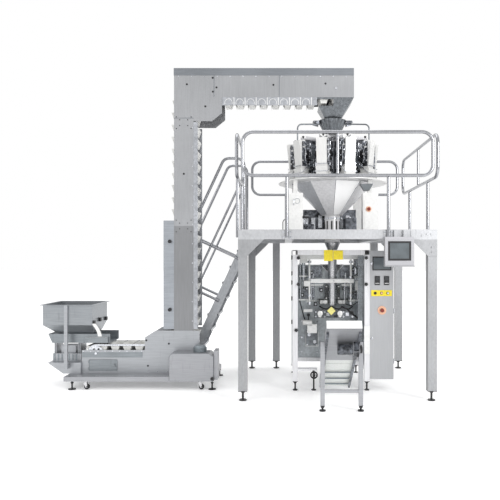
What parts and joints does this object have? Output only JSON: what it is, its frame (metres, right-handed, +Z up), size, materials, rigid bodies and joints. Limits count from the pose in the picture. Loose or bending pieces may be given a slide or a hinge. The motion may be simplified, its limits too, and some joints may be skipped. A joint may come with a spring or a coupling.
{
  "type": "vertical form fill sealer",
  "caption": "Vertical form fill sealer line: Z-shaped bucket elevator, multihead weigher on a railed platform, bagger with control cabinet, and a sloping take-off conveyor.",
  "frame": {"origin": "on the floor, below the middle of the whole line", "axes": "+X from the feed hopper to the cabinet, along the line; +Y from the operator side to the rear; +Z up"},
  "size_m": [4.7108, 2.7436, 3.94],
  "materials": {
    "painted_grey": "satin",
    "stainless": "brushed",
    "stainless_dark": "brushed",
    "white_plastic": "matt",
    "white_painted": "satin",
    "black_plastic": "matt",
    "machined_steel": "satin",
    "black_rubber": "matt",
    "red_plastic": "gloss",
    "door_pane": "clear"
  },
  "bodies": {
    "packing_line": {"platform_frame": "painted_grey", "deck_plate": "stainless", "guard_rails": "stainless", "stair": "painted_grey", "stair_handrails": "stainless", "levelling_feet": "black_plastic", "elevator_side_plates": "stainless", "elevator_covers": "stainless_dark", "elevator_ties": "stainless_dark", "elevator_fasteners": "black_plastic", "elevator_buckets": "white_plastic", "elevator_chains": "machined_steel", "lower_housing": "stainless", "drive_motor": "stainless_dark", "drive_cover": "stainless", "elevator_base": "stainless", "discharge_funnel": "stainless", "feed_hopper": "stainless", "feeder_stand": "stainless", "weigher_frame": "white_painted", "head_drives": "stainless_dark", "feeder_pans": "stainless", "feed_hoppers": "stainless", "weigh_hoppers": "stainless", "infeed_collar": "stainless_dark", "collecting_chute": "stainless", "bagger_frame": "stainless", "bagger_panels": "stainless_dark", "control_cabinet": "stainless", "forming_tube": "stainless", "sealing_frame": "white_painted", "hoses_and_cables": "black_rubber", "conveyor_frame": "stainless", "conveyor_belt": "white_plastic"},
    "drive_shaft": {"drive_shaft": "machined_steel"},
    "head_shaft": {"head_shaft": "machined_steel"},
    "tail_shaft": {"tail_shaft": "machined_steel"},
    "inspection_door": {"inspection_door": "stainless"},
    "caster_fork_left": {"caster_fork_left": "stainless"},
    "caster_fork_right": {"caster_fork_right": "stainless"},
    "caster_wheel_left": {"caster_wheel_left": "black_rubber"},
    "caster_wheel_right": {"caster_wheel_right": "black_rubber"},
    "feeder_tray": {"feeder_tray": "stainless"},
    "dispersion_cone": {"dispersion_cone": "stainless"},
    "weigher_stop_button": {"weigher_stop_button": "red_plastic"},
    "operator_screen": {"operator_screen": "painted_grey"},
    "front_door": {"front_door": "door_pane"},
    "cabinet_door": {"cabinet_door": "stainless", "cabinet_instruments": "black_plastic"},
    "selector_switch": {"selector_switch": "black_plastic"},
    "emergency_stop": {"emergency_stop": "red_plastic"},
    "pull_unit_left": {"pull_unit_left": "black_rubber"},
    "pull_unit_right": {"pull_unit_right": "black_rubber"},
    "vertical_sealer": {"vertical_sealer": "stainless"},
    "jaw_front": {"jaw_front": "stainless"},
    "jaw_rear": {"jaw_rear": "stainless"},
    "film_spindle": {"film_spindle": "machined_steel"},
    "dancer_arm": {"dancer_arm": "machined_steel"},
    "head_roller": {"head_roller": "machined_steel"},
    "tail_roller": {"tail_roller": "machined_steel"}
  },
  "joints": [
    {"name": "drive_spin", "type": "hinge", "parent": "packing_line", "child": "drive_shaft", "pos_m": [-0.69508, 0.33085, 0.39979], "axis": [0, 1, 0], "continuous": true},
    {"name": "head_spin", "type": "hinge", "parent": "packing_line", "child": "head_shaft", "pos_m": [1.2721, 0.33085, 3.6895], "axis": [0, 1, 0], "continuous": true},
    {"name": "tail_spin", "type": "hinge", "parent": "packing_line", "child": "tail_shaft", "pos_m": [-1.7079, 0.33085, 0.3995], "axis": [0, 1, 0], "continuous": true},
    {"name": "inspection_door_hinge", "type": "hinge", "parent": "packing_line", "child": "inspection_door", "pos_m": [-1.7976, 0.12555, 0.25], "axis": [0, 0, -1], "range_deg": [0, 110]},
    {"name": "caster_swivel_left", "type": "hinge", "parent": "packing_line", "child": "caster_fork_left", "pos_m": [-1.7644, -0.08415, 0.09], "axis": [0, 0, 1], "continuous": true},
    {"name": "caster_swivel_right", "type": "hinge", "parent": "packing_line", "child": "caster_fork_right", "pos_m": [-0.3849, -0.08415, 0.09], "axis": [0, 0, 1], "continuous": true},
    {"name": "caster_roll_left", "type": "hinge", "parent": "caster_fork_left", "child": "caster_wheel_left", "pos_m": [-1.7464, -0.08415, 0.035], "axis": [0, 1, 0], "continuous": true},
    {"name": "caster_roll_right", "type": "hinge", "parent": "caster_fork_right", "child": "caster_wheel_right", "pos_m": [-0.3669, -0.08415, 0.035], "axis": [0, 1, 0], "continuous": true},
    {"name": "tray_vibration", "type": "slide", "parent": "packing_line", "child": "feeder_tray", "axis": [1, 0, 0], "range_m": [-0.003, 0.003], "stiffness_N_per_m": 20000},
    {"name": "cone_vibration", "type": "slide", "parent": "packing_line", "child": "dispersion_cone", "axis": [0, 0, 1], "range_m": [-0.0015, 0.0015], "stiffness_N_per_m": 100000},
    {"name": "weigher_stop_press", "type": "slide", "parent": "packing_line", "child": "weigher_stop_button", "axis": [0, 1, 0], "range_m": [0, 0.005], "stiffness_N_per_m": 800},
    {"name": "screen_tilt", "type": "hinge", "parent": "packing_line", "child": "operator_screen", "pos_m": [1.8821, -0.71115, 1.8157], "axis": [-1, 0, 0], "range_deg": [0, 30]},
    {"name": "front_door_hinge", "type": "hinge", "parent": "packing_line", "child": "front_door", "pos_m": [0.7621, -0.15545, 1.32], "axis": [0, 0, -1], "range_deg": [0, 110]},
    {"name": "cabinet_door_hinge", "type": "hinge", "parent": "packing_line", "child": "cabinet_door", "pos_m": [1.9334, -0.14745, 0.9], "axis": [0, 0, 1], "range_deg": [0, 110]},
    {"name": "selector_turn", "type": "hinge", "parent": "cabinet_door", "child": "selector_switch", "pos_m": [1.7144, -0.14915, 1.164], "axis": [0, 1, 0], "range_deg": [-45, 45]},
    {"name": "emergency_stop_press", "type": "slide", "parent": "cabinet_door", "child": "emergency_stop", "axis": [0, 1, 0], "range_m": [0, 0.006], "stiffness_N_per_m": 1500},
    {"name": "pull_unit_left_slide", "type": "slide", "parent": "packing_line", "child": "pull_unit_left", "axis": [1, 0, 0], "range_m": [0, 0.0035]},
    {"name": "pull_unit_right_slide", "type": "slide", "parent": "packing_line", "child": "pull_unit_right", "axis": [1, 0, 0], "range_m": [-0.0035, 0]},
    {"name": "vertical_sealer_slide", "type": "slide", "parent": "packing_line", "child": "vertical_sealer", "axis": [0, 1, 0], "range_m": [0, 0.0065]},
    {"name": "jaw_front_slide", "type": "slide", "parent": "packing_line", "child": "jaw_front", "axis": [0, 1, 0], "range_m": [0, 0.0265]},
    {"name": "jaw_rear_slide", "type": "slide", "parent": "packing_line", "child": "jaw_rear", "axis": [0, 1, 0], "range_m": [-0.0265, 0]},
    {"name": "film_spindle_spin", "type": "hinge", "parent": "packing_line", "child": "film_spindle", "pos_m": [1.2171, 0.75085, 0.56], "axis": [1, 0, 0], "continuous": true},
    {"name": "dancer_swing", "type": "hinge", "parent": "packing_line", "child": "dancer_arm", "pos_m": [1.2171, 0.60085, 0.98], "axis": [1, 0, 0], "range_deg": [-15, 15]},
    {"name": "head_roller_spin", "type": "hinge", "parent": "packing_line", "child": "head_roller", "pos_m": [1.2221, -1.30514, 0.89375], "axis": [1, 0, 0], "continuous": true},
    {"name": "tail_roller_spin", "type": "hinge", "parent": "packing_line", "child": "tail_roller", "pos_m": [1.2221, -0.22915, 0.112], "axis": [1, 0, 0], "continuous": true}
  ],
  "couplings": [
    {"joint": "head_spin", "follows": "drive_spin", "ratio": 0.70149},
    {"joint": "tail_spin", "follows": "drive_spin", "ratio": 0.70149},
    {"joint": "pull_unit_right_slide", "follows": "pull_unit_left_slide", "ratio": -1},
    {"joint": "jaw_rear_slide", "follows": "jaw_front_slide", "ratio": -1},
    {"joint": "tail_roller_spin", "follows": "head_roller_spin", "ratio": 1}
  ]
}
